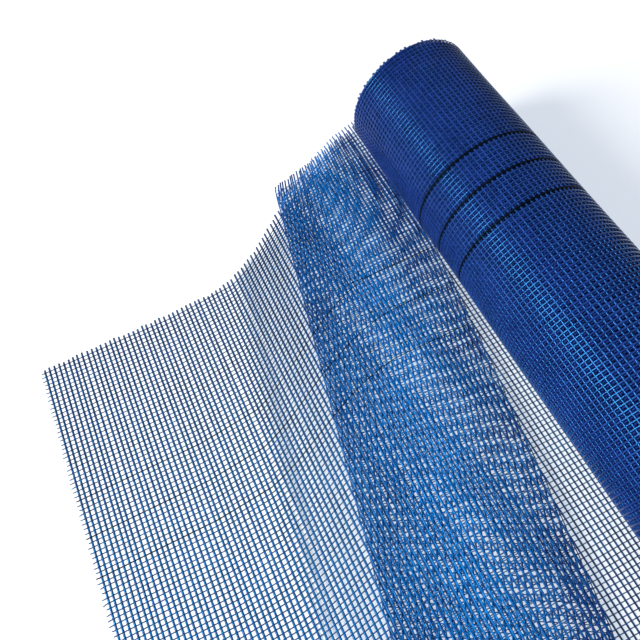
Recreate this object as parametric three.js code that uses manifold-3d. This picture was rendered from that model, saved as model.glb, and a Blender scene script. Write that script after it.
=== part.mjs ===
// Roll of fibreglass mesh with its loose end drawn out and folded over itself.
// Millimetres, +Z up. The roll's axis lies along Y, and the loose end runs towards -X.
import * as THREE from "three";
import { mergeVertices } from "three/addons/utils/BufferGeometryUtils.js";
import Module from "manifold-3d";

// The roll
const ROLL_DIAMETER = 116;
const BORE_DIAMETER = 40;
const WEB_WIDTH = 1000;
const ROUND_SEGMENTS = 72;

// The turns that show on the roll's two ends, as shallow turned rings
const END_RINGS = 6;
const END_RING_DEPTH = 1.2;

// The web: one layer of woven mesh
const WEB_THICKNESS = 0.6;
const WEB_COLOUR = 0x1a4fb0;

// The loose end, measured from the roll's axis
const CUT_END_X = -394;
const LEFT_FOLD_X = -142.6;
const RIGHT_FOLD_X = -13.6;
const RIGHT_FOLD_LIMIT_X = -37;
const RIGHT_FOLD_BLEND = 5;
const FOLD_SKEW = 0.212;
const FOLD_SKEW_NEAR = 0.13;
const FOLD_SKEW_CHANGE_Y = -450;

// Heights of the web's middle in the fold
const LEFT_FOLD_HEIGHT = 6.6;
const RIGHT_FOLD_HEIGHT = 6.4;
const MIDDLE_LAYER_HEIGHT = 3.6;
const RUN_DOWN_LENGTH = 75;

// Sideways drift of the loose end along the roll's axis
const END_DRIFT = -76;
const DRIFT_GAIN = 0.315;
const DRIFT_GAIN_START_Y = -341;
const DRIFT_GAIN_BLEND = 60;
const DRIFT_LEAD_IN = 105;
const DRIFT_LEAD_OUT = 65;
const DRIFT_LEAD_OUT_FAR = 45;
const DRIFT_LEAD_OUT_FADE = 60;

// The weave, as a plain grid of openings where the web lies in one layer
const OPENING_ROWS = 12;
const OPENING_ROW_GAP = 24;
const OPENING_LENGTH = 30;
const OPENING_GAP = 12.6;
const LEAST_OPENING = 8;
const FOLD_MARGIN = 10;
const AXIS_MARGIN = 44;

// How finely the web is drawn
const WIDTH_STEPS = 27;
const CREASE_STEPS = 9;

const ROLL_RADIUS = ROLL_DIAMETER / 2;
const BORE_RADIUS = BORE_DIAMETER / 2;
const FLOOR_LEVEL = WEB_THICKNESS / 2;

const wasm = await Module();
wasm.setup();

function toManifold(geometry) {
  const bare = geometry.clone();
  bare.deleteAttribute("normal");
  bare.deleteAttribute("uv");
  const merged = mergeVertices(bare, 1e-5);
  return new wasm.Manifold(new wasm.Mesh({
    numProp: 3,
    vertProperties: new Float32Array(merged.attributes.position.array),
    triVerts: new Uint32Array(merged.index.array),
  }));
}

function toGeometry(solid) {
  const mesh = solid.getMesh();
  const points = [];
  for (let i = 0; i < mesh.vertProperties.length; i += mesh.numProp) {
    points.push(mesh.vertProperties[i], mesh.vertProperties[i + 1], mesh.vertProperties[i + 2]);
  }
  const geometry = new THREE.BufferGeometry();
  geometry.setAttribute("position", new THREE.Float32BufferAttribute(points, 3));
  geometry.setIndex(Array.from(mesh.triVerts));
  geometry.computeVertexNormals();
  return geometry;
}

// The roll is turned: bore, ringed ends and outside, as one closed outline
function turnedRoll() {
  const outline = [];
  const ringStep = (ROLL_RADIUS - BORE_RADIUS) / (2 * END_RINGS);
  const ringPoints = [];
  for (let i = 0; i <= 2 * END_RINGS; i++) {
    ringPoints.push([BORE_RADIUS + i * ringStep, i % 2 ? END_RING_DEPTH : 0]);
  }
  for (const [radius, depth] of ringPoints) {
    outline.push(new THREE.Vector2(radius, -WEB_WIDTH + depth));
  }
  for (const [radius, depth] of ringPoints.reverse()) {
    outline.push(new THREE.Vector2(radius, -depth));
  }
  outline.push(outline[0].clone());
  const geometry = new THREE.LatheGeometry(outline, ROUND_SEGMENTS);
  const position = geometry.attributes.position;
  for (let i = 0; i < position.count; i++) {
    position.setZ(i, position.getZ(i) + ROLL_RADIUS);
  }
  return geometry;
}

// Where the two fold lines lie at a place across the web
function foldShift(y) {
  if (y > FOLD_SKEW_CHANGE_Y) {
    return FOLD_SKEW * y;
  }
  return FOLD_SKEW * FOLD_SKEW_CHANGE_Y + FOLD_SKEW_NEAR * (y - FOLD_SKEW_CHANGE_Y);
}

function leftFold(y) {
  return LEFT_FOLD_X + foldShift(y);
}

function rightFold(y) {
  const over = RIGHT_FOLD_X + foldShift(y) - RIGHT_FOLD_LIMIT_X;
  const soft = RIGHT_FOLD_BLEND * Math.log(1 + Math.exp(over / RIGHT_FOLD_BLEND));
  return RIGHT_FOLD_X + foldShift(y) - soft;
}

function smooth(t) {
  const c = Math.min(1, Math.max(0, t));
  return c * c * (3 - 2 * c);
}

// How far a place on the top layer has drifted along the axis
function topDrift(x, y) {
  const gain = DRIFT_GAIN * DRIFT_GAIN_BLEND
    * Math.log(1 + Math.exp((y - DRIFT_GAIN_START_Y) / DRIFT_GAIN_BLEND));
  const start = leftFold(y) - DRIFT_LEAD_IN;
  const end = leftFold(y) + DRIFT_LEAD_OUT + DRIFT_LEAD_OUT_FAR * Math.exp(y / DRIFT_LEAD_OUT_FADE);
  return END_DRIFT + gain * smooth((x - start) / (end - start));
}

// The middle line of the web at one place across it, from the roll to the cut end
function webLine(y) {
  const left = leftFold(y);
  const right = rightFold(y);
  const line = [];
  const tuck = ROLL_RADIUS - 1.3 * WEB_THICKNESS;
  for (const x of [9, 4, -1]) {
    line.push([x, y, ROLL_RADIUS - Math.sqrt(tuck * tuck - x * x)]);
  }
  line.push([-9, y, FLOOR_LEVEL]);

  const leftRadius = LEFT_FOLD_HEIGHT / 2;
  for (let i = 1; i <= 4; i++) {
    line.push([-9 + (left + leftRadius + 9) * i / 5, y, FLOOR_LEVEL]);
  }
  for (let i = 0; i <= CREASE_STEPS; i++) {
    const a = Math.PI * i / CREASE_STEPS;
    line.push([
      left + leftRadius - leftRadius * Math.sin(a), y,
      FLOOR_LEVEL + leftRadius * (1 - Math.cos(a)),
    ]);
  }

  const rightRadius = RIGHT_FOLD_HEIGHT / 2;
  const drift = topDrift(right, y);
  const from = left + leftRadius;
  const to = right - rightRadius;
  const leftTop = FLOOR_LEVEL + LEFT_FOLD_HEIGHT;
  for (let i = 1; i <= 5; i++) {
    const t = i / 6;
    line.push([
      from + (to - from) * t, y + drift * t,
      leftTop + (MIDDLE_LAYER_HEIGHT - leftTop) * smooth(2 * t),
    ]);
  }
  for (let i = 0; i <= CREASE_STEPS; i++) {
    const a = Math.PI * i / CREASE_STEPS;
    line.push([
      to + rightRadius * Math.sin(a), y + drift,
      MIDDLE_LAYER_HEIGHT + rightRadius * (1 - Math.cos(a)),
    ]);
  }

  const topHeight = MIDDLE_LAYER_HEIGHT + RIGHT_FOLD_HEIGHT;
  for (let i = 1; i <= 8; i++) {
    const x = to + (left - to) * i / 8;
    line.push([x, y + topDrift(x, y), topHeight]);
  }
  for (let i = 1; i <= 8; i++) {
    const x = left - RUN_DOWN_LENGTH * i / 8;
    line.push([x, y + topDrift(x, y), topHeight + (FLOOR_LEVEL - topHeight) * smooth(i / 8)]);
  }
  for (let i = 1; i <= 3; i++) {
    const start = left - RUN_DOWN_LENGTH;
    const x = start + (CUT_END_X - start) * i / 3;
    line.push([x, y + topDrift(x, y), FLOOR_LEVEL]);
  }
  return line.map((p) => new THREE.Vector3(...p));
}

// The loose web: the middle surface thickened to both sides and closed round its edges
function looseWeb() {
  const lines = [];
  for (let j = 0; j < WIDTH_STEPS; j++) {
    const t = j / (WIDTH_STEPS - 1);
    lines.push(webLine(-WEB_WIDTH * Math.pow(t, 1.35)));
  }
  const rows = lines.length;
  const columns = lines[0].length;
  const above = [];
  const below = [];
  const along = new THREE.Vector3();
  const across = new THREE.Vector3();
  const normal = new THREE.Vector3();
  for (let j = 0; j < rows; j++) {
    for (let i = 0; i < columns; i++) {
      const p = lines[j][i];
      along.subVectors(lines[j][Math.min(i + 1, columns - 1)], lines[j][Math.max(i - 1, 0)]);
      across.subVectors(lines[Math.min(j + 1, rows - 1)][i], lines[Math.max(j - 1, 0)][i]);
      normal.crossVectors(along, across).normalize().multiplyScalar(WEB_THICKNESS / 2);
      above.push(p.clone().add(normal));
      below.push(p.clone().sub(normal));
    }
  }
  const points = [...above, ...below].flatMap((p) => [p.x, p.y, p.z]);
  const offset = rows * columns;
  const index = [];
  const at = (j, i) => j * columns + i;
  const quad = (a, b, c, d) => index.push(a, b, c, a, c, d);
  for (let j = 0; j < rows - 1; j++) {
    for (let i = 0; i < columns - 1; i++) {
      const a = at(j, i);
      const b = at(j, i + 1);
      const c = at(j + 1, i + 1);
      const d = at(j + 1, i);
      quad(a, b, c, d);
      quad(offset + a, offset + d, offset + c, offset + b);
    }
  }
  for (let i = 0; i < columns - 1; i++) {
    const far = at(0, i);
    const farNext = at(0, i + 1);
    quad(far, offset + far, offset + farNext, farNext);
    const near = at(rows - 1, i);
    const nearNext = at(rows - 1, i + 1);
    quad(near, nearNext, offset + nearNext, offset + near);
  }
  for (let j = 0; j < rows - 1; j++) {
    const start = at(j, 0);
    const startNext = at(j + 1, 0);
    quad(start, startNext, offset + startNext, offset + start);
    const end = at(j, columns - 1);
    const endNext = at(j + 1, columns - 1);
    quad(end, offset + end, offset + endNext, endNext);
  }
  const geometry = new THREE.BufferGeometry();
  geometry.setAttribute("position", new THREE.Float32BufferAttribute(points, 3));
  geometry.setIndex(index);
  return geometry;
}

// One opening, cut straight down: its four corners in plan, and how high the cut reaches
function openingCut(corners, top) {
  const shape = new THREE.Shape(corners.map(([x, y]) => new THREE.Vector2(x, y)));
  const depth = top + WEB_THICKNESS;
  const cut = new THREE.ExtrudeGeometry(shape, { depth, bevelEnabled: false });
  cut.translate(0, 0, -WEB_THICKNESS);
  return toManifold(cut);
}

// Openings left of the fold: rows across the web, columns from its cut end to the fold line
function freeEndCuts(far, near) {
  const top = MIDDLE_LAYER_HEIGHT + RIGHT_FOLD_HEIGHT + 2 * WEB_THICKNESS;
  const limitFar = leftFold(far + END_DRIFT) - FOLD_MARGIN;
  const limitNear = leftFold(near + END_DRIFT) - FOLD_MARGIN;
  const cuts = [];
  let x = CUT_END_X + OPENING_GAP;
  while (Math.min(limitFar, limitNear) - x >= LEAST_OPENING) {
    const corners = [
      [x, near], [Math.min(x + OPENING_LENGTH, limitNear), near],
      [Math.min(x + OPENING_LENGTH, limitFar), far], [x, far],
    ];
    cuts.push(openingCut(corners.map(([a, b]) => [a, b + topDrift(a, b)]), top));
    x += OPENING_LENGTH + OPENING_GAP;
  }
  return cuts;
}

// Openings between the fold and the roll, where the first layer lies bare on the floor
function stripCuts(far, near) {
  const top = FLOOR_LEVEL + 2 * WEB_THICKNESS;
  const limitFar = rightFold(far - END_DRIFT) + FOLD_MARGIN;
  const limitNear = rightFold(near - END_DRIFT) + FOLD_MARGIN;
  const cuts = [];
  let x = -AXIS_MARGIN;
  while (x - Math.max(limitFar, limitNear) >= LEAST_OPENING) {
    const corners = [
      [Math.max(x - OPENING_LENGTH, limitNear), near], [x, near],
      [x, far], [Math.max(x - OPENING_LENGTH, limitFar), far],
    ];
    cuts.push(openingCut(corners, top));
    x -= OPENING_LENGTH + OPENING_GAP;
  }
  return cuts;
}

function openWeave(solid) {
  const width = (WEB_WIDTH - (OPENING_ROWS + 1) * OPENING_ROW_GAP) / OPENING_ROWS;
  let open = solid;
  for (let row = 0; row < OPENING_ROWS; row++) {
    const far = -OPENING_ROW_GAP - row * (width + OPENING_ROW_GAP);
    const near = far - width;
    for (const cut of [...freeEndCuts(far, near), ...stripCuts(far, near)]) {
      open = open.subtract(cut);
    }
  }
  return open;
}

// The roll and its loose end are one continuous web, so they are one solid
const rollSolid = toManifold(turnedRoll());
const webSolid = openWeave(toManifold(looseWeb()));
const whole = rollSolid.add(webSolid);
const geometry = toGeometry(whole);

// The origin is the middle of the footprint, on the floor
geometry.computeBoundingBox();
const box = geometry.boundingBox;
geometry.translate(-(box.min.x + box.max.x) / 2, -(box.min.y + box.max.y) / 2, -box.min.z);

const material = new THREE.MeshStandardMaterial({ color: WEB_COLOUR, roughness: 0.5 });
material.name = "glass_fibre_mesh";
const mesh = new THREE.Mesh(geometry, material);
mesh.name = "mesh_roll";

const group = new THREE.Group();
group.name = "fibreglass_mesh_roll";
group.add(mesh);

export default group;
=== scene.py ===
# Roll of blue glass-fibre mesh with its loose end folded over itself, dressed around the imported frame.
import math

import bpy
import numpy as np
from mathutils import Matrix, Vector


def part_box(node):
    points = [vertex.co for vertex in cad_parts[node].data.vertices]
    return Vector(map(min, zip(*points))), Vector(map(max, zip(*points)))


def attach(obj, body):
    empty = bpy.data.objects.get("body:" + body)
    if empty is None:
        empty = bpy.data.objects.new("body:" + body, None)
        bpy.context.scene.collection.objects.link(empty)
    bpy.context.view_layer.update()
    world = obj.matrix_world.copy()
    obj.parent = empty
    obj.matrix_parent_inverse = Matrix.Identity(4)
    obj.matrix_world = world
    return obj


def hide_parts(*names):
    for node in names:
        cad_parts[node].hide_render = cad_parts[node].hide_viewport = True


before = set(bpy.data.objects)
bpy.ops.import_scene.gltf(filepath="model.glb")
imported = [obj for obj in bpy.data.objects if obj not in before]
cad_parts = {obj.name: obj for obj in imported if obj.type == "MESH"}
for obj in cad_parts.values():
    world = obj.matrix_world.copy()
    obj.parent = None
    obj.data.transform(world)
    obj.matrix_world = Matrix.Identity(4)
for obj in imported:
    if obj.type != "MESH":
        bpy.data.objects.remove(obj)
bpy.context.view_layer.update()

# Sizes in millimetres, the same as the solid's. Local zero is the roll's axis and its far end.
ROLL_RADIUS = 58.0
BORE_RADIUS = 20.0
WEB_WIDTH = 1000.0
CUT_END_X = -394.0
LEFT_FOLD_X = -142.6
RIGHT_FOLD_X = -13.6
ROLL_EXIT_X = (9.0, 4.0, -1.0)
FLOOR_START_X = -9.0
ROLL_EXIT_TUCK = 0.8
RIGHT_FOLD_LIMIT_X = -37.0
RIGHT_FOLD_BLEND = 5.0
FOLD_SKEW = 0.212
FOLD_SKEW_NEAR = 0.13
FOLD_SKEW_CHANGE_Y = -450.0
LEFT_FOLD_HEIGHT = 6.6
RIGHT_FOLD_HEIGHT = 6.4
MIDDLE_LAYER_HEIGHT = 3.6
RUN_DOWN_LENGTH = 75.0
FLOOR_LEVEL = 0.3
END_DRIFT = -76.0
DRIFT_GAIN = 0.315
DRIFT_GAIN_START_Y = -341.0
DRIFT_GAIN_BLEND = 60.0
DRIFT_LEAD_IN = 105.0
DRIFT_LEAD_OUT = 65.0
DRIFT_LEAD_OUT_FAR = 45.0
DRIFT_LEAD_OUT_FADE = 60.0

# The weave
WARP_PITCH = 3.8
WEFT_PITCH = 4.2
WARP_COUNT = 264
WARP_SIZE = (0.9, 0.95)
WEFT_SIZE = (1.8, 0.84)
FOLD_SLIMNESS = 0.8
WOUND_WARP_SIZE = (1.95, 0.5)
WOUND_WEFT_SIZE = (2.1, 0.55)
MARKER_SIZE = (1.0, 1.0)
MARKER_WARPS = (31, 39, 47)
WARP_JITTER = 0.15
WEFT_JITTER = 0.2
WEFT_POINTS = 88
WARP_LIFT = 0.12
WEFT_LIFT = -0.08
PRISM_FOOT = 0.6
WANDER = 0.12
THREAD_WANDER = 0.6

# How the layers in the fold wander, and how fast the looks change at the fold's edges.
# Each wave is a length in mm over one radian.
WANDER_PHASE_PER_MM = 1.9
WANDER_WAVES_X = (9.7, 17.0)
WANDER_WAVES_Y = (10.9, 21.0)
THREAD_WAVE = 31.0
FOLD_EDGE_BLEND = 12.0
SINGLE_EDGE_BLEND = 4.0
# Painted light on the web: a painted highlight streak along the fold's middle, and the single layer
# painted lighter towards the near end
HIGHLIGHT_STREAK_PLACE = 0.45
HIGHLIGHT_STREAK_WIDTH = 0.2
FREE_PAINTED_LIGHT_FAR = 0.3
FREE_PAINTED_LIGHT_START = 100
FREE_PAINTED_LIGHT_BLEND = 350

# The roll's outer turns, the body under them and the edges on its ends
OUTER_TURN_RADIUS = 57.3
SECOND_TURN_RADIUS = 56.6
SECOND_TURN_PHASE = 1.3
SECOND_TURN_OFFSET = (1.15, 1.35)
WRAP_SIDES = 72
WRAP_POINTS_ALONG = 25
WRAP_WARP_LIFT = 0.1
SWELL = 0.25
SWELL_WAVE = 61.0
RIDGE = 0.12
RIDGE_WAVE = 23.0
TURN_DRIFT = 0.45
TURN_DRIFT_WAVE = 140.0
TURN_BOW = 0.4
TURN_BOW_WAVE = 115.0
BODY_RADIUS = 55.7
BODY_INSET = 1.5
BODY_SIDES = 96
BODY_WEFTS_ROUND = 86.0
BODY_TURN_THICKNESS = 1.1
END_INSET = 1.4
END_TURNS = 33
END_POINTS_PER_TURN = 84
END_EDGE_SIZE = (0.7, 1.2)
END_STUB_SIZE = (0.9, 0.5)

# Colours, linear. A pair is from the darkest to the lightest.
STRIPE_COLOUR = (0.001, 0.0015, 0.004)
THREAD_GLOSS_TINT = (0.06, 0.52, 1.0, 1)
# Loose threads have one real colour in two painted copies: the loose pairs lighter and more azure for
# light bouncing between the fold's layers, the single pairs darker, painted shade, where the web lies
# singly
LOOSE_WEFT_COLOURS = ((0.005, 0.014, 0.12), (0.004, 0.145, 0.46))
LOOSE_WARP_COLOURS = ((0.005, 0.016, 0.13), (0.004, 0.155, 0.46))
SINGLE_SHADED_WEFT_COLOURS = ((0.003, 0.006, 0.035), (0.0005, 0.075, 0.26))
SINGLE_SHADED_WARP_COLOURS = ((0.003, 0.006, 0.03), (0.001, 0.05, 0.19))
WOUND_COLOURS = ((0.005, 0.017, 0.1), (0.009, 0.028, 0.165))
# the second turn's pair, used in a matte, shaded copy of the wound thread
UNDER_SHADED_COLOURS = ((0.005, 0.018, 0.1), (0.009, 0.028, 0.16))
MARKER_COLOURS = ((0.001, 0.0015, 0.004), (0.003, 0.004, 0.012))
# the body's pair is painted shade: near-black, darkest in the weave's gaps
BODY_SHADE_COLOURS = ((0.0005, 0.0015, 0.01, 1), (0.001, 0.004, 0.03, 1))

# Thread material: noise scales, and the twist and bump of its filaments
PATCH_SCALE = 38
GLINT_SPECK_SCALE = 330
FILAMENT_SCALE = 900
TWIST_PER_MM = 3.2
FILAMENT_BUMP = 0.0001
STRIPE_HALF_WIDTH = (0.0005, 0.0010)

# Floor and light
FLOOR_SIZE = 12
FLOOR_DROP = 0.0002
FLOOR_COLOUR = (0.48, 0.44, 0.41, 1)
FLOOR_GLOW = (0.42, 0.5, 0.6, 1)
WORLD_STRENGTH = 0.35
KEY_LIGHT = {"place": (-1.6, 0.6, 1.15), "target": (0.05, 0.2, 0.05), "size": 0.9, "power": 85}
FILL_LIGHT = {"place": (0.9, -0.6, 2.2), "target": (0, 0.2, 0), "size": 2.0, "power": 16}

# Camera, fitted to the photograph: focal length in picture widths, angles in radians, and its place in
# weft spacings from the roll's axis and far end
FOCAL = 622.92 / 640
SENSOR_WIDTH = 36
CAMERA_ELEVATION = 1.08315
CAMERA_ROLL = -0.16249
CAMERA_AZIMUTH = 0.29761
FIT_UNIT = 4.2
FIT_AXIS_X = 56.035
FIT_FAR_Y = 89.875
FIT_HEIGHT = 112.376

RNG = np.random.default_rng(7)
node_low, node_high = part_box("mesh_roll")
AXIS_X = node_high[0] * 1000 - ROLL_RADIUS
FAR_Y = node_low[1] * 1000 + WEB_WIDTH - END_DRIFT


def to_frame(points):
    """Local millimetres to metres in the row frame."""
    return (np.asarray(points, float) + np.array([AXIS_X, FAR_Y, 0.0])) / 1000


def smooth(t):
    c = np.clip(t, 0, 1)
    return c * c * (3 - 2 * c)


def softplus(t):
    return np.logaddexp(0, t)


# The loose web's middle surface
def fold_shift(y):
    far = FOLD_SKEW * y
    near = FOLD_SKEW * FOLD_SKEW_CHANGE_Y + FOLD_SKEW_NEAR * (y - FOLD_SKEW_CHANGE_Y)
    return np.where(y > FOLD_SKEW_CHANGE_Y, far, near)


def left_fold(y):
    return LEFT_FOLD_X + fold_shift(y)


def right_fold(y):
    plain = RIGHT_FOLD_X + fold_shift(y)
    return plain - RIGHT_FOLD_BLEND * softplus((plain - RIGHT_FOLD_LIMIT_X) / RIGHT_FOLD_BLEND)


def right_edge(y):
    """The right fold's place for a point whose y already holds the layers' drift."""
    return right_fold(np.minimum(y - END_DRIFT, 0))


def top_drift(x, y):
    gain = DRIFT_GAIN * DRIFT_GAIN_BLEND * softplus((y - DRIFT_GAIN_START_Y) / DRIFT_GAIN_BLEND)
    start = left_fold(y) - DRIFT_LEAD_IN
    lead_out = DRIFT_LEAD_OUT + DRIFT_LEAD_OUT_FAR * np.exp(np.minimum(y, 0) / DRIFT_LEAD_OUT_FADE)
    end = left_fold(y) + lead_out
    return END_DRIFT + gain * smooth((x - start) / (end - start))


def web_lines(y, first=4, crease=9, middle=6, top=9, down=9, flat=3):
    """Points of the web at each place y across it, from the roll to the cut end.

    Also gives the number of the middle layer's first point and of the last layer's.
    """
    y = np.asarray(y, float)
    left = left_fold(y)
    right = right_fold(y)
    r1 = LEFT_FOLD_HEIGHT / 2
    r2 = RIGHT_FOLD_HEIGHT / 2
    points = []

    def put(x, yy, z):
        points.append(np.stack(np.broadcast_arrays(x + 0 * y, yy + 0 * y, z + 0 * y), -1))

    tuck = ROLL_RADIUS - ROLL_EXIT_TUCK
    for x in ROLL_EXIT_X:
        put(x, y, ROLL_RADIUS - math.sqrt(tuck * tuck - x * x))
    put(FLOOR_START_X, y, FLOOR_LEVEL)
    for i in range(1, first + 1):
        put(FLOOR_START_X + (left + r1 - FLOOR_START_X) * i / (first + 1), y, FLOOR_LEVEL)
    for i in range(crease + 1):
        a = math.pi * i / crease
        put(left + r1 - r1 * math.sin(a), y, FLOOR_LEVEL + r1 * (1 - math.cos(a)))
    ends_first = len(points)
    drift = top_drift(right, y)
    start = left + r1
    end = right - r2
    high = FLOOR_LEVEL + LEFT_FOLD_HEIGHT
    for i in range(1, middle):
        t = i / middle
        put(start + (end - start) * t, y + drift * t, high + (MIDDLE_LAYER_HEIGHT - high) * smooth(2 * t))
    starts_last = len(points)
    for i in range(crease + 1):
        a = math.pi * i / crease
        put(end + r2 * math.sin(a), y + drift, MIDDLE_LAYER_HEIGHT + r2 * (1 - math.cos(a)))
    peak = MIDDLE_LAYER_HEIGHT + RIGHT_FOLD_HEIGHT
    for i in range(1, top + 1):
        x = end + (left - end) * i / top
        put(x, y + top_drift(x, y), peak)
    for i in range(1, down + 1):
        x = left - RUN_DOWN_LENGTH * i / down
        put(x, y + top_drift(x, y), peak + (FLOOR_LEVEL - peak) * smooth(i / down))
    for i in range(1, flat + 1):
        begin = left - RUN_DOWN_LENGTH
        x = begin + (CUT_END_X - begin) * i / flat
        put(x, y + top_drift(x, y), FLOOR_LEVEL)
    return np.stack(points, 1), ends_first, starts_last


def stray(lines, axis):
    """Inside the fold the layers wander against each other, and each thread against its neighbours."""
    x, y, z = lines[..., 0], lines[..., 1], lines[..., 2]
    inside = smooth((x - left_fold(y)) / FOLD_EDGE_BLEND) * smooth((right_edge(y) - x) / FOLD_EDGE_BLEND)
    phase = z * WANDER_PHASE_PER_MM
    shift_x = WANDER * np.sin(y / WANDER_WAVES_X[0] + 1.7 * np.sin(x / WANDER_WAVES_X[1]) + phase)
    shift_y = WANDER * np.sin(x / WANDER_WAVES_Y[0] + 1.9 * np.sin(y / WANDER_WAVES_Y[1]) + phase)
    number = np.arange(len(lines))[:, None]
    own = THREAD_WANDER * np.sin(number * 12.99 + phase * 2.3 + lines[..., 1 - axis] / THREAD_WAVE)
    lines[..., 0] += inside * shift_x
    lines[..., 1] += inside * shift_y
    lines[..., axis] += inside * own


def unit(v):
    return v / np.maximum(np.linalg.norm(v, axis=-1, keepdims=True), 1e-9)


def surface_normals(grid):
    """Normals of a grid of points [across, along]."""
    across = np.gradient(grid, axis=0)
    along = np.gradient(grid, axis=1)
    return unit(np.cross(along, across))


# Threads: each is a three-sided prism that follows a line of points, with its ridge along the normal
def threads(lines, normals, size, lift=0.0, width=1.0):
    """Vertices, faces and run along the thread for lines [thread, point, xyz]."""
    count, length, _ = lines.shape
    tangent = unit(np.gradient(lines, axis=1))
    side = unit(np.cross(tangent, normals))
    up = unit(np.cross(side, tangent))
    half = size[0] / 2 * width
    tall = size[1] / 2
    middle = lines + up * lift
    ring = np.stack([
        middle - side * half - up * tall * PRISM_FOOT,
        middle + side * half - up * tall * PRISM_FOOT,
        middle + up * tall,
    ], 2)
    vertices = ring.reshape(-1, 3)
    base = (np.arange(count)[:, None] * length + np.arange(length - 1)[None, :]) * 3
    faces = []
    for s in range(3):
        a = base + s
        b = base + (s + 1) % 3
        faces.append(np.stack([a, b, b + 3, a + 3], -1).reshape(-1, 4))
    steps = np.linalg.norm(np.diff(lines, axis=1), axis=-1)
    run = np.concatenate([np.zeros((count, 1)), np.cumsum(steps, 1)], 1)
    first = np.arange(count) * length * 3
    last = first + (length - 1) * 3
    start_caps = np.stack([first, first + 2, first + 1], -1)
    end_caps = np.stack([last, last + 1, last + 2], -1)
    caps = np.concatenate([start_caps, end_caps])
    along = np.repeat(run.reshape(-1), 3)
    return vertices, np.concatenate(faces), caps, along


def resample(lines, normals, count):
    """Keeps points where a line bends, and spreads the rest by length."""
    steps = np.linalg.norm(np.diff(lines, axis=1), axis=-1)
    tangent = unit(np.diff(lines, axis=1))
    turn = np.zeros_like(steps)
    cosine = np.clip((tangent[:, 1:] * tangent[:, :-1]).sum(-1), -1, 1)
    bend = np.arccos(cosine)
    turn[:, 1:] += bend / 2
    turn[:, :-1] += bend / 2
    weight = steps / np.maximum(steps.sum(1, keepdims=True), 1e-9) + turn / 9.0
    run = np.concatenate([np.zeros((len(lines), 1)), np.cumsum(weight, 1)], 1)
    out_lines = np.empty((len(lines), count, 3))
    out_normals = np.empty((len(lines), count, 3))
    for i in range(len(lines)):
        at = np.linspace(0, run[i, -1], count)
        for k in range(3):
            out_lines[i, :, k] = np.interp(at, run[i], lines[i, :, k])
            out_normals[i, :, k] = np.interp(at, run[i], normals[i, :, k])
    return out_lines, unit(out_normals)


def lies_singly(points):
    """1 where the web lies in one layer, 0 inside the fold."""
    x, y = points[..., 0], points[..., 1]
    left = smooth((left_fold(y) - x) / SINGLE_EDGE_BLEND)
    right = smooth((x - right_edge(y)) / SINGLE_EDGE_BLEND)
    return np.maximum(left, right)


def web_painted_light(points):
    """Painted light and shade by place: painted lighter at the near left, a painted azure highlight streak
    along the fold's middle, painted navy shade by the roll.
    """
    x, y = points[..., 0], points[..., 1]
    left = left_fold(y)
    t = (x - left) / (right_edge(y) - left)
    highlight_streak = np.exp(-((t - HIGHLIGHT_STREAK_PLACE) / HIGHLIGHT_STREAK_WIDTH) ** 2)
    # painted highlight along the fold's middle, painted shade towards the roll's side
    fold = 0.5 + 0.5 * highlight_streak - 0.45 * smooth((t - 0.6) / 0.4)
    free_painted_light = FREE_PAINTED_LIGHT_FAR + (1 - FREE_PAINTED_LIGHT_FAR) * smooth((-y - FREE_PAINTED_LIGHT_START) / FREE_PAINTED_LIGHT_BLEND)
    return np.where(t < 0, free_painted_light, np.where(t > 1, 0.0, fold))


def loose_width(lines):
    """Threads look widest where the web lies singly past the fold."""
    x, y = lines[..., 0], lines[..., 1]
    bare = smooth((left_fold(y) - x) / SINGLE_EDGE_BLEND)
    return (FOLD_SLIMNESS + (1 - FOLD_SLIMNESS) * bare)[..., None]


def mesh_object(name, parts, materials):
    """One object of several sets of threads, each (vertices, quads, triangles, run, material index)."""
    vertices = []
    polygons = []
    slots = []
    along = []
    single = []
    painted_light = []
    offset = 0
    for points, quads, caps, run, index in parts:
        vertices.append(to_frame(points))
        single.append(lies_singly(points))
        # painted light and shade by place, read by the loose threads' colour
        painted_light.append(web_painted_light(points))
        polygons.extend((quads + offset).tolist())
        polygons.extend((caps + offset).tolist())
        slots.extend([index] * (len(quads) + len(caps)))
        along.append(run)
        offset += len(points)
    mesh = bpy.data.meshes.new(name)
    mesh.from_pydata(np.concatenate(vertices).tolist(), [], polygons)
    for material in materials:
        mesh.materials.append(material)
    mesh.polygons.foreach_set("material_index", slots)
    mesh.polygons.foreach_set("use_smooth", [True] * len(polygons))
    for attribute, values in (("thread_run", along), ("single", single), ("painted_light", painted_light)):
        data = mesh.attributes.new(attribute, "FLOAT", "POINT").data
        data.foreach_set("value", np.concatenate(values))
    mesh.update()
    thing = bpy.data.objects.new(name, mesh)
    bpy.context.scene.collection.objects.link(thing)
    return thing


# Materials
def new_material(name):
    material = bpy.data.materials.new(name)
    material.use_nodes = True
    nodes = material.node_tree.nodes
    links = material.node_tree.links
    return material, nodes, links, nodes["Principled BSDF"]


def math_node(nodes, links, operation, first, second=None, third=None):
    """A Math node; each input is a number or another node's output."""
    node = nodes.new("ShaderNodeMath")
    node.operation = operation
    for socket, value in zip(node.inputs, (first, second, third)):
        if isinstance(value, bpy.types.NodeSocket):
            links.new(value, socket)
        elif value is not None:
            socket.default_value = value
    return node.outputs[0]


def noise_node(nodes, links, place, scale, detail):
    noise = nodes.new("ShaderNodeTexNoise")
    noise.inputs["Scale"].default_value = scale
    noise.inputs["Detail"].default_value = detail
    links.new(place, noise.inputs["Vector"])
    return noise.outputs["Fac"]


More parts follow.
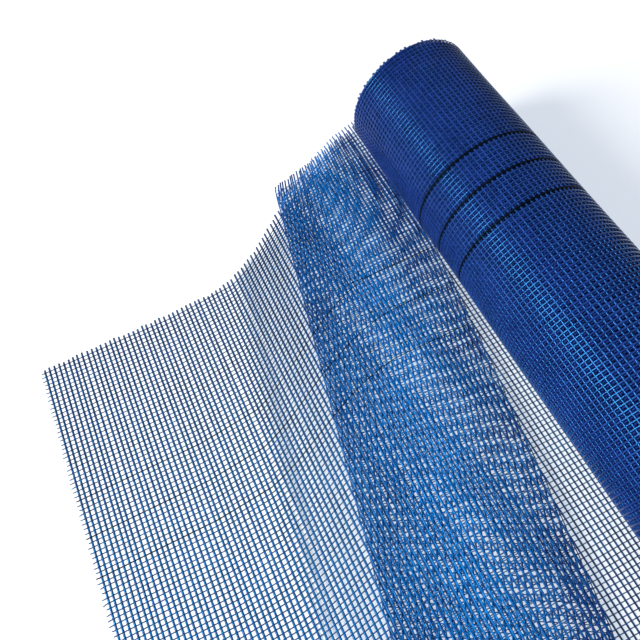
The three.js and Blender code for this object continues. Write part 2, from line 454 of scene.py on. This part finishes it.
def blend_node(nodes, links, factor, first, second):
    mix = nodes.new("ShaderNodeMix")
    mix.data_type = "RGBA"
    links.new(factor, mix.inputs[0])
    for socket, value in ((mix.inputs[6], first), (mix.inputs[7], second)):
        if isinstance(value, bpy.types.NodeSocket):
            links.new(value, socket)
        else:
            socket.default_value = (*value, 1)
    return mix.outputs[2]


def stripe_mask(nodes, links, place, fine):
    """1 where the three marker stripes run round the roll, 0 elsewhere."""
    split = nodes.new("ShaderNodeSeparateXYZ")
    links.new(place, split.inputs[0])
    mask = None
    for number in MARKER_WARPS:
        y = (FAR_Y - WARP_PITCH * number - 0.5) / 1000
        off = math_node(nodes, links, "SUBTRACT", split.outputs[1], y)
        off = math_node(nodes, links, "ABSOLUTE", off)
        edge = math_node(nodes, links, "MULTIPLY_ADD", fine, STRIPE_HALF_WIDTH[1], STRIPE_HALF_WIDTH[0])
        inside = math_node(nodes, links, "LESS_THAN", off, edge)
        mask = inside if mask is None else math_node(nodes, links, "MAXIMUM", mask, inside)
    return mask


def thread_material(name, colours, roughness, gloss, striped=False, bare=None):
    """Resin-coated glass thread: filament streaks along it, uneven coating whose fine speckle also paints
    small glints at the colour pair's light end, a soft plastic shine.

    bare is the pair of colours where the web lies singly: a darker copy of the same thread colour, painted
    shade, while the first pair is painted lighter for light bouncing between the fold's layers.
    """
    material, nodes, links, shader = new_material(name)
    run = nodes.new("ShaderNodeAttribute")
    run.attribute_name = "thread_run"
    place = nodes.new("ShaderNodeTexCoord").outputs["Object"]
    patch = noise_node(nodes, links, place, PATCH_SCALE, 3)
    fine = noise_node(nodes, links, place, FILAMENT_SCALE, 2)
    # fine speckle: painted glints at the light end of each colour pair, as well as an uneven coating
    glint_speck = noise_node(nodes, links, place, GLINT_SPECK_SCALE, 2)
    mixed = math_node(nodes, links, "ADD", math_node(nodes, links, "MULTIPLY", patch, 0.5), glint_speck)
    spread = nodes.new("ShaderNodeMapRange")
    spread.inputs[1].default_value = 0.6
    spread.inputs[2].default_value = 0.9
    links.new(mixed, spread.inputs[0])
    factor = spread.outputs[0]
    if bare:
        # Painted light and shade by place: lighter in a painted highlight streak along the fold's middle
        # and towards the near end, darker by the roll
        painted_light = nodes.new("ShaderNodeAttribute")
        painted_light.attribute_name = "painted_light"
        factor = math_node(nodes, links, "MULTIPLY_ADD", factor, 0.5, -0.15)
        factor = math_node(nodes, links, "MULTIPLY_ADD", painted_light.outputs["Fac"], 0.7, factor)
    colour = blend_node(nodes, links, factor, *colours)
    if striped:
        mask = stripe_mask(nodes, links, place, fine)
        colour = blend_node(nodes, links, mask, colour, STRIPE_COLOUR)
    # where the web lies singly the threads take their darker copy, painted shade
    if bare:
        single = nodes.new("ShaderNodeAttribute")
        single.attribute_name = "single"
        single_shaded = blend_node(nodes, links, factor, *bare)
        colour = blend_node(nodes, links, single.outputs["Fac"], colour, single_shaded)
    links.new(colour, shader.inputs["Base Color"])
    turns = math_node(nodes, links, "MULTIPLY", run.outputs["Fac"], TWIST_PER_MM)
    twist = math_node(nodes, links, "SINE", turns)
    bump = nodes.new("ShaderNodeBump")
    bump.inputs["Strength"].default_value = 0.35
    bump.inputs["Distance"].default_value = FILAMENT_BUMP
    links.new(math_node(nodes, links, "MULTIPLY_ADD", twist, 0.5, fine), bump.inputs["Height"])
    links.new(bump.outputs[0], shader.inputs["Normal"])
    rough = nodes.new("ShaderNodeMapRange")
    rough.inputs[3].default_value = roughness - 0.08
    rough.inputs[4].default_value = roughness + 0.12
    links.new(fine, rough.inputs[0])
    links.new(rough.outputs[0], shader.inputs["Roughness"])
    shader.inputs["Specular IOR Level"].default_value = gloss
    shader.inputs["Specular Tint"].default_value = THREAD_GLOSS_TINT
    return material


def wound_shade_material(name):
    """The turns under the outer ones: another blue weave painted near-black as shade deep in the roll,
    with painted shade darkest in its gaps.
    """
    material, nodes, links, shader = new_material(name)
    turn = nodes.new("ShaderNodeAttribute")
    turn.attribute_name = "weave"
    split = nodes.new("ShaderNodeSeparateXYZ")
    links.new(turn.outputs["Vector"], split.inputs[0])
    lines = []
    for axis in (0, 1):
        wave = math_node(nodes, links, "PINGPONG", split.outputs[axis], 0.5)
        edge = nodes.new("ShaderNodeMapRange")
        for socket, value in zip(edge.inputs[1:5], (0.14, 0.24, 1, 0)):
            socket.default_value = value
        links.new(wave, edge.inputs[0])
        lines.append(edge.outputs[0])
    # the weave's threads get the lighter colour, its gaps the darkest painted shade
    either = math_node(nodes, links, "MAXIMUM", lines[0], lines[1])
    mix = nodes.new("ShaderNodeMix")
    mix.data_type = "RGBA"
    mix.inputs[6].default_value, mix.inputs[7].default_value = BODY_SHADE_COLOURS
    links.new(either, mix.inputs[0])
    links.new(mix.outputs[2], shader.inputs["Base Color"])
    bump = nodes.new("ShaderNodeBump")
    bump.inputs["Strength"].default_value = 0.6
    bump.inputs["Distance"].default_value = 0.0004
    links.new(either, bump.inputs["Height"])
    links.new(bump.outputs[0], shader.inputs["Normal"])
    shader.inputs["Roughness"].default_value = 0.6
    shader.inputs["Specular IOR Level"].default_value = 0.0
    return material


loose_weft = thread_material("loose_weft_thread", LOOSE_WEFT_COLOURS, 0.26, 0.8, bare=SINGLE_SHADED_WEFT_COLOURS)
loose_warp = thread_material("loose_warp_thread", LOOSE_WARP_COLOURS, 0.26, 0.8, bare=SINGLE_SHADED_WARP_COLOURS)
wound_blue = thread_material("wound_thread", WOUND_COLOURS, 0.22, 0.65, striped=True)
# The second turn is a shaded copy of the wound thread, its gloss all but taken out so that it stays dark:
# painted shade under the outer turn
under_turn_shaded = thread_material("under_thread_shaded", UNDER_SHADED_COLOURS, 0.6, 0.05, striped=True)
marker_dark = thread_material("marker_thread", MARKER_COLOURS, 0.5, 0.1)
body_shade_material = wound_shade_material("wound_under_shade")

# The loose web: warps run along it, wefts across it
warp_y = -WARP_PITCH * np.arange(WARP_COUNT) + RNG.normal(0, WARP_JITTER, WARP_COUNT)
warp_y[0] = 0.0
grid, _, _ = web_lines(warp_y)
warp_normals = surface_normals(grid)
stray(grid, 1)
marker = np.zeros(WARP_COUNT, bool)
marker[list(MARKER_WARPS)] = True
stub = grid[:, -1:] + np.stack([
    -RNG.uniform(0.6, 2.4, WARP_COUNT), RNG.normal(0, 0.25, WARP_COUNT), RNG.uniform(0, 0.5, WARP_COUNT),
], -1)[:, None]
warp_lines = np.concatenate([grid, stub], 1)
warp_normals = np.concatenate([warp_normals, warp_normals[:, -1:]], 1)
parts = []
for chosen, size, index in ((~marker, WARP_SIZE, 0), (marker, MARKER_SIZE, 1)):
    width = loose_width(warp_lines[chosen])
    parts.append((*threads(warp_lines[chosen], warp_normals[chosen], size, WARP_LIFT, width), index))

# Places along the web are counted from the roll in its first layer and from the cut end in its last one
across_y = np.concatenate([np.linspace(12, 0, 5), -WEB_WIDTH * np.linspace(0, 1, 260)[1:] ** 1.3])
dense, ends_first, starts_last = web_lines(across_y, 30, 16, 40, 40, 30, 30)
dense_normals = surface_normals(dense)
flat_steps = np.diff(dense, axis=1)[..., [0, 2]]
run = np.concatenate([np.zeros((len(dense), 1)), np.cumsum(np.linalg.norm(flat_steps, axis=-1), 1)], 1)
total = run[:, -1]
usual = total[len(total) // 2]
from_cut = usual - (total[:, None] - run)
first_end = run[:, ends_first - 1: ends_first]
last_start = from_cut[:, starts_last: starts_last + 1]
last_run = run[:, starts_last: starts_last + 1]
inner = first_end + (run - first_end) * (last_start - first_end) / (last_run - first_end)
column = np.arange(run.shape[1])[None]
place = np.where(column < ends_first, run, np.where(column >= starts_last, from_cut, inner))
weft_at = np.arange(usual - 2.0, 14.0, -WEFT_PITCH)
weft_at = weft_at + RNG.normal(0, WEFT_JITTER, len(weft_at))
weft_lines = np.empty((len(weft_at), len(across_y), 3))
weft_normals = np.empty_like(weft_lines)
for j in range(len(across_y)):
    for k in range(3):
        weft_lines[:, j, k] = np.interp(weft_at, place[j], dense[j, :, k])
        weft_normals[:, j, k] = np.interp(weft_at, place[j], dense_normals[j, :, k])
weft_normals = unit(weft_normals)

# Weft ends stand out past the edge as a fringe, longer by the fold
fringe = np.interp(-weft_lines[:, 4, 0], [20, 180, 300, 400], [9.5, 8.0, 4.5, 3.8])
fringe = np.clip(fringe + RNG.normal(0, 0.6, len(weft_at)), 2, 11.5)
for i in range(len(weft_at)):
    at = np.linspace(fringe[i], 0, 5)
    for k in range(3):
        order = np.argsort(across_y[:5])
        weft_lines[i, :5, k] = np.interp(at, across_y[:5][order], weft_lines[i, :5, k][order])
near_end = weft_lines[:, -1:] - np.stack([
    RNG.normal(0, 0.3, len(weft_at)), RNG.uniform(2, 5, len(weft_at)), 0 * weft_at,
], -1)[:, None]
weft_lines = np.concatenate([weft_lines, near_end], 1)
weft_normals = np.concatenate([weft_normals, weft_normals[:, -1:]], 1)
weft_lines, weft_normals = resample(weft_lines, weft_normals, WEFT_POINTS)
stray(weft_lines, 0)
parts.append((*threads(weft_lines, weft_normals, WEFT_SIZE, WEFT_LIFT, loose_width(weft_lines)), 2))
loose_web = mesh_object("loose_web", parts, [loose_warp, marker_dark, loose_weft])


# The roll's outer turns, as threads. Each turn lies a little off the one over it.
def roll_swell(y, around):
    """How far a turn stands out from its plain radius."""
    return SWELL * np.sin(y / SWELL_WAVE) * np.sin(2 * around) + RIDGE * np.sin(y / RIDGE_WAVE)


def wrap(name, radius, turn, across, along, material):
    """One turn of web round the roll. across and along are how far, in mm, it lies off the outer turn."""
    angle = np.linspace(math.pi, 3 * math.pi, WRAP_SIDES + 1)
    y = warp_y[:, None] - across
    drift = TURN_DRIFT * np.sin(y / TURN_DRIFT_WAVE + turn) * np.cos(angle + turn)[None] * min(across, 1.0)
    r = radius + roll_swell(y, angle[None])
    ring = np.stack([r * np.sin(angle)[None], y + drift, ROLL_RADIUS + r * np.cos(angle)[None]], -1)
    out = np.stack([np.sin(angle), 0 * angle, np.cos(angle)], -1)
    out = np.broadcast_to(out[None], ring.shape)
    made = []
    for chosen, index in ((~marker, 0), (marker, 1)):
        made.append((*threads(ring[chosen], out[chosen], WOUND_WARP_SIZE, WRAP_WARP_LIFT), index))
    count = round(2 * math.pi * ROLL_RADIUS / WEFT_PITCH)
    places = np.arange(count) * 2 * math.pi / count + (along + RNG.normal(0, 0.1, count)) / radius
    length = np.linspace(0, 1, WRAP_POINTS_ALONG)
    far = RNG.uniform(0.8, 2.6, count) - across
    near = -WEB_WIDTH - RNG.uniform(0.5, 2.5, count) - across
    yy = far[:, None] + (near - far)[:, None] * length[None]
    bow = TURN_BOW * np.sin(yy / TURN_BOW_WAVE + turn) / radius * min(along, 1.0)
    around = places[:, None] + bow
    rr = radius + roll_swell(yy, around)
    lines = np.stack([rr * np.sin(around), yy, ROLL_RADIUS + rr * np.cos(around)], -1)
    out = np.stack([np.sin(around), 0 * around, np.cos(around)], -1)
    made.append((*threads(lines, out, WOUND_WEFT_SIZE, -WRAP_WARP_LIFT), 0))
    return mesh_object(name, made, [material, marker_dark])


outer_turn = wrap("outer_turn", OUTER_TURN_RADIUS, 0.0, 0.0, 0.0, wound_blue)
second_turn = wrap("second_turn", SECOND_TURN_RADIUS, SECOND_TURN_PHASE, *SECOND_TURN_OFFSET, under_turn_shaded)


# The wound body under them, with its bore
def wound_body():
    rings = BODY_SIDES
    far = -BODY_INSET
    near = -WEB_WIDTH + BODY_INSET
    stations = [(BORE_RADIUS, far), (BORE_RADIUS, near), (BODY_RADIUS, near), (BODY_RADIUS, far)]
    vertices = []
    for r, y in stations:
        for i in range(rings):
            a = 2 * math.pi * i / rings
            vertices.append((r * math.sin(a), y, ROLL_RADIUS + r * math.cos(a)))
    faces = []
    for s in range(4):
        for i in range(rings):
            a = s * rings + i
            b = s * rings + (i + 1) % rings
            c = ((s + 1) % 4) * rings + (i + 1) % rings
            d = ((s + 1) % 4) * rings + i
            faces.append((a, b, c, d))
    mesh = bpy.data.meshes.new("wound_body")
    mesh.from_pydata(to_frame(vertices).tolist(), [], faces)
    mesh.materials.append(body_shade_material)
    weave = mesh.attributes.new("weave", "FLOAT_VECTOR", "CORNER")
    values = []
    for n, polygon in enumerate(mesh.polygons):
        s = n // rings
        i = n % rings
        ends = {0: (far, near), 2: (near, far)}
        for corner, vertex in enumerate(polygon.vertices):
            step = i + (1 if corner in (1, 2) else 0)
            if s in (0, 2):
                y = ends[s][0] if corner in (0, 1) else ends[s][1]
                values.extend((BODY_WEFTS_ROUND * step / rings, y / WARP_PITCH, 0.0))
            else:
                r = math.hypot(vertices[vertex][0], vertices[vertex][2] - ROLL_RADIUS)
                values.extend((BODY_WEFTS_ROUND * step / rings, r / BODY_TURN_THICKNESS, 0.0))
    weave.data.foreach_set("vector", values)
    thing = bpy.data.objects.new("wound_body", mesh)
    bpy.context.scene.collection.objects.link(thing)
    return thing


body = wound_body()


# The turns' edges on both ends: a spiral of wound edge with weft ends standing out of it
def end_turns(name, y_face, outward):
    steps = END_TURNS * END_POINTS_PER_TURN
    t = np.arange(steps + 1) / END_POINTS_PER_TURN
    angle = 2 * math.pi * t
    r = BORE_RADIUS + 0.6 + (SECOND_TURN_RADIUS - BORE_RADIUS) * t / END_TURNS
    r = r + 0.25 * np.sin(3 * angle / 1.7 + t)
    rise = 0.5 + 0.5 * np.sin(angle * 0.31) + 0.3 * np.sin(angle * 1.7)
    line = np.stack([r * np.sin(angle), y_face + outward * rise, ROLL_RADIUS + r * np.cos(angle)], -1)
    normal = np.broadcast_to(np.array([0.0, outward, 0.0]), line.shape)
    made = [(*threads(line[None], normal[None], END_EDGE_SIZE), 0)]
    pick = np.arange(0, steps, 2) + RNG.integers(0, 2, steps // 2)
    at = line[pick]
    radial = np.stack([np.sin(angle[pick]), 0 * pick, np.cos(angle[pick])], -1)
    length = RNG.uniform(0.8, 2.2, len(pick))
    lean = RNG.normal(0, 0.15, (len(pick), 3))
    tip = at + np.array([0.0, outward, 0.0]) * length[:, None] + lean * length[:, None]
    root = at - np.array([0.0, outward, 0.0]) * 1.5
    lines = np.stack([root, tip], 1)
    normals = np.broadcast_to(radial[:, None], lines.shape)
    made.append((*threads(lines, normals, END_STUB_SIZE), 0))
    return mesh_object(name, made, [wound_blue, marker_dark])


far_turns = end_turns("far_turns", -END_INSET, 1.0)
near_turns = end_turns("near_turns", -WEB_WIDTH + END_INSET, -1.0)

for piece in (loose_web, outer_turn, second_turn, body, far_turns, near_turns):
    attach(piece, "root")
    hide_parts("mesh_roll")

def studio_floor():
    """A plain white floor that glows a little, so shadows on it stay faint."""
    bpy.ops.mesh.primitive_plane_add(size=FLOOR_SIZE, location=(0, 0, -FLOOR_DROP))
    floor = bpy.context.object
    floor.name = "floor"
    material, nodes, links, shader = new_material("floor_white")
    shader.inputs["Base Color"].default_value = FLOOR_COLOUR
    shader.inputs["Emission Color"].default_value = FLOOR_GLOW
    shader.inputs["Emission Strength"].default_value = 1.0
    shader.inputs["Roughness"].default_value = 0.9
    shader.inputs["Specular IOR Level"].default_value = 0.1
    floor.data.materials.append(material)


studio_floor()

world = bpy.data.worlds.new("studio")
bpy.context.scene.world = world
world.use_nodes = True
world.node_tree.nodes["Background"].inputs["Color"].default_value = (1, 1, 1, 1)
world.node_tree.nodes["Background"].inputs["Strength"].default_value = WORLD_STRENGTH


def area_light(name, place, target, size, power):
    data = bpy.data.lights.new(name, "AREA")
    data.shape = "DISK"
    data.size = size
    data.energy = power
    thing = bpy.data.objects.new(name, data)
    bpy.context.scene.collection.objects.link(thing)
    thing.location = place
    direction = np.array(target, float) - np.array(place, float)
    thing.rotation_euler = Vector(direction).to_track_quat("-Z", "Y").to_euler()


area_light("key", **KEY_LIGHT)
area_light("fill", **FILL_LIGHT)

# Camera
def camera_axes(elevation, roll, azimuth):
    ahead = np.array([0, math.cos(elevation), -math.sin(elevation)])
    right = np.array([1.0, 0, 0])
    down = np.cross(ahead, right)
    level = np.stack([right, down, ahead])
    c, s = math.cos(roll), math.sin(roll)
    rolled = np.array([[c, -s, 0], [s, c, 0], [0, 0, 1]]) @ level
    c, s = math.cos(azimuth), math.sin(azimuth)
    return rolled @ np.array([[c, -s, 0], [s, c, 0], [0, 0, 1]])


axes = camera_axes(CAMERA_ELEVATION, CAMERA_ROLL, CAMERA_AZIMUTH)
spot = to_frame([-FIT_AXIS_X * FIT_UNIT, -FIT_FAR_Y * FIT_UNIT, FIT_HEIGHT * FIT_UNIT])
camera_data = bpy.data.cameras.new("camera")
camera_data.sensor_width = SENSOR_WIDTH
camera_data.lens = SENSOR_WIDTH * FOCAL
camera_data.clip_start = 0.01
camera = bpy.data.objects.new("camera", camera_data)
bpy.context.scene.collection.objects.link(camera)
columns = np.stack([axes[0], -axes[1], -axes[2]], 1)
matrix = Matrix.Identity(4)
for i in range(3):
    for j in range(3):
        matrix[i][j] = float(columns[i, j])
    matrix[i][3] = float(spot[i])
camera.matrix_world = matrix
bpy.context.scene.camera = camera
bpy.context.scene.view_settings.view_transform = "Standard"
